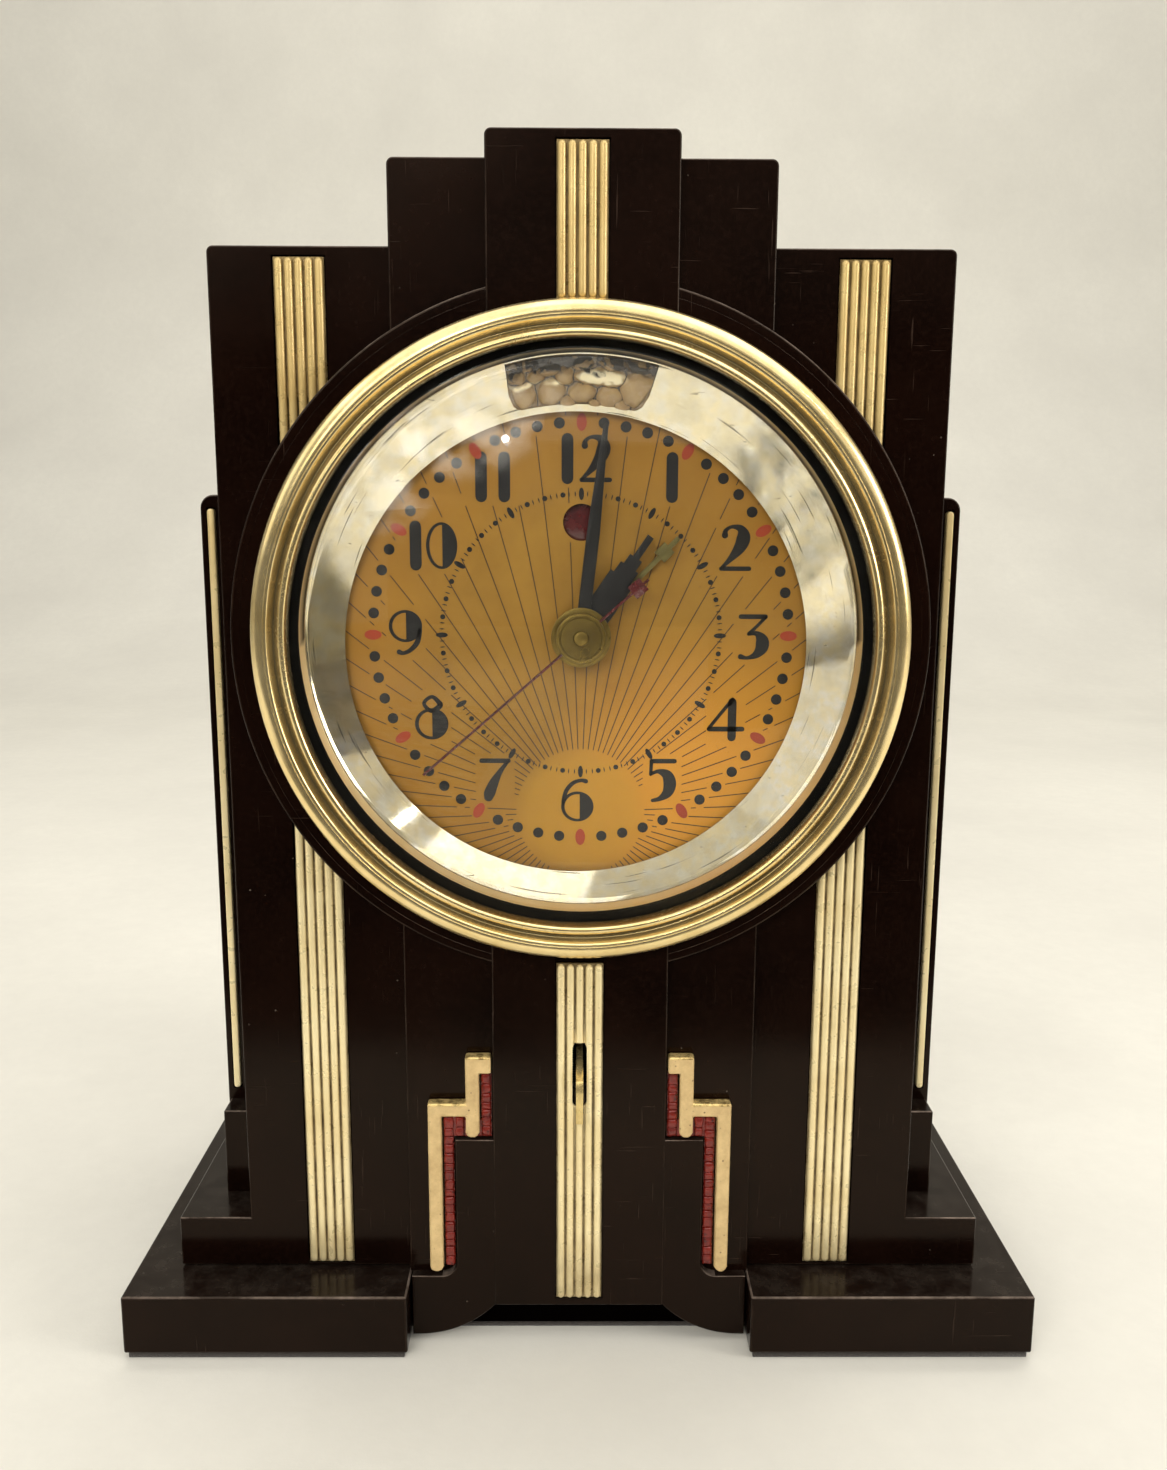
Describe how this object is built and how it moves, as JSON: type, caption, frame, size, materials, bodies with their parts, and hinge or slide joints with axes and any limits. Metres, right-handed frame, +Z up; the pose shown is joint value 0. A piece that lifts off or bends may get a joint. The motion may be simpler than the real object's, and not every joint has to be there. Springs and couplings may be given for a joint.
{
  "type": "electric alarm clock",
  "caption": "Mains electric alarm clock in a stepped tower-shaped moulded case, with reeded inlays, a domed glass over a lit round dial, four hands, a slot lever and setting knobs at the back",
  "frame": {"origin": "on the surface the clock stands on, at the centre of its overall box, so midway between its sides and between the front of its glass and the ends of its knobs", "axes": "+X to the right as seen from the front, +Y from the dial to the back, +Z up; the front faces -Y"},
  "size_m": [0.154, 0.097, 0.197],
  "materials": {
    "dark_moulding": "very dark brown moulded plastic, slightly glossy with worn edges",
    "felt": "thin dark felt",
    "ivory_inlay": "aged ivory with a gold tint",
    "red_fill": "brick red, textured",
    "bezel_brass": "turned brass with speckled tarnish",
    "clear_glass": "clear, polished",
    "black_rubber": "matt black",
    "mirror_ring": "bright mirror finish",
    "amber_diffuser": "crazed amber sheet",
    "dial_paint": "aged gold lacquer, printed",
    "black_paint": "black enamel",
    "red_paint": "dark red enamel",
    "old_brass": "dull brass",
    "movement_brass": "brushed brass",
    "screw_steel": "bright steel",
    "core_steel": "grey steel sheet",
    "spring_steel": "blued spring steel",
    "coil_winding": "varnished winding under tape",
    "black_board": "matt black fibre board"
  },
  "bodies": {
    "case": {"case_shell": "dark_moulding", "base_slab": "dark_moulding", "base_felt": "felt", "strip_upper_left": "ivory_inlay", "strip_upper_right": "ivory_inlay", "strip_upper_centre": "ivory_inlay", "strip_lower_left": "ivory_inlay", "strip_lower_right": "ivory_inlay", "strip_lower_centre": "ivory_inlay", "wing_rod_left": "ivory_inlay", "wing_rod_right": "ivory_inlay", "trim_left": "ivory_inlay", "trim_right": "ivory_inlay", "fill_left": "red_fill", "fill_right": "red_fill", "bezel": "bezel_brass", "crystal": "clear_glass", "gasket": "black_rubber", "reflector": "mirror_ring", "lamp_diffuser": "amber_diffuser", "dial_plate": "dial_paint", "front_plate": "movement_brass", "back_plate": "movement_brass", "pillar_top": "movement_brass", "pillar_left": "movement_brass", "pillar_right": "movement_brass", "movement_screw_left": "screw_steel", "movement_screw_right": "screw_steel", "cover_screw_left": "screw_steel", "cover_screw_right": "screw_steel", "base_screw_left": "screw_steel", "base_screw_right": "screw_steel", "field_core": "core_steel", "field_coil": "coil_winding", "rotor_capsule": "old_brass", "alarm_reed": "spring_steel", "lever_bracket": "core_steel", "switch_block": "black_board", "lamp_bulb": "clear_glass", "lamp_socket": "black_board", "lamp_bracket": "core_steel", "back_cover": "black_board", "cord_grommet": "black_rubber"},
    "time_setting": {"time_shaft": "old_brass"},
    "minute_works": {"minute_cannon": "movement_brass", "minute_hand": "black_paint"},
    "hour_works": {"hour_wheel": "movement_brass", "hour_hand": "black_paint"},
    "motion_wheel": {"minute_wheel": "movement_brass"},
    "alarm_setting": {"alarm_shaft": "old_brass"},
    "alarm_works": {"alarm_wheel": "movement_brass", "alarm_hand": "old_brass"},
    "second_works": {"second_wheel": "movement_brass", "second_hand": "red_paint"},
    "motor_output": {"rotor_pinion": "movement_brass"},
    "train_third": {"third_wheel": "movement_brass"},
    "train_centre": {"centre_wheel": "movement_brass"},
    "flag": {"flag_lever": "red_paint"},
    "lever": {"front_lever": "old_brass"}
  },
  "joints": [
    {"name": "time_turn", "type": "hinge", "parent": "case", "child": "time_setting", "pos_m": [0.02137, 0.043, 0.09967], "axis": [0, 1, 0], "continuous": true},
    {"name": "minute_turn", "type": "hinge", "parent": "case", "child": "minute_works", "pos_m": [0, -0.03, 0.1218], "axis": [0, 1, 0], "continuous": true},
    {"name": "hour_turn", "type": "hinge", "parent": "case", "child": "hour_works", "pos_m": [0, -0.03, 0.1218], "axis": [0, 1, 0], "continuous": true},
    {"name": "motion_wheel_turn", "type": "hinge", "parent": "case", "child": "motion_wheel", "pos_m": [0.01386, -0.026, 0.1138], "axis": [0, 1, 0], "continuous": true},
    {"name": "alarm_turn", "type": "hinge", "parent": "case", "child": "alarm_setting", "pos_m": [-0.02175, 0.043, 0.11166], "axis": [0, 1, 0], "continuous": true},
    {"name": "alarm_hand_turn", "type": "hinge", "parent": "case", "child": "alarm_works", "pos_m": [0, -0.03, 0.1218], "axis": [0, 1, 0], "continuous": true},
    {"name": "second_turn", "type": "hinge", "parent": "case", "child": "second_works", "pos_m": [0, -0.03, 0.1218], "axis": [0, 1, 0], "continuous": true},
    {"name": "rotor_turn", "type": "hinge", "parent": "case", "child": "motor_output", "pos_m": [0, -0.015, 0.09995], "axis": [0, 1, 0], "continuous": true},
    {"name": "third_turn", "type": "hinge", "parent": "case", "child": "train_third", "pos_m": [-0.01732, -0.02, 0.1318], "axis": [0, 1, 0], "continuous": true},
    {"name": "centre_turn", "type": "hinge", "parent": "case", "child": "train_centre", "pos_m": [0, -0.022, 0.1218], "axis": [0, 1, 0], "continuous": true},
    {"name": "flag_swing", "type": "hinge", "parent": "case", "child": "flag", "pos_m": [0.024, -0.03, 0.14], "axis": [0, 1, 0], "range_deg": [0, 16]},
    {"name": "lever_swing", "type": "hinge", "parent": "case", "child": "lever", "pos_m": [0, -0.026, 0.0525], "axis": [-1, 0, 0], "range_deg": [0, 15]}
  ],
  "couplings": [
    {"joint": "minute_turn", "follows": "time_turn", "ratio": 1},
    {"joint": "motion_wheel_turn", "follows": "time_turn", "ratio": -0.33333},
    {"joint": "hour_turn", "follows": "time_turn", "ratio": 0.083333},
    {"joint": "alarm_hand_turn", "follows": "alarm_turn", "ratio": -0.25},
    {"joint": "rotor_turn", "follows": "second_turn", "ratio": -3.6},
    {"joint": "third_turn", "follows": "second_turn", "ratio": -0.16667},
    {"joint": "centre_turn", "follows": "second_turn", "ratio": 0.016667}
  ]
}
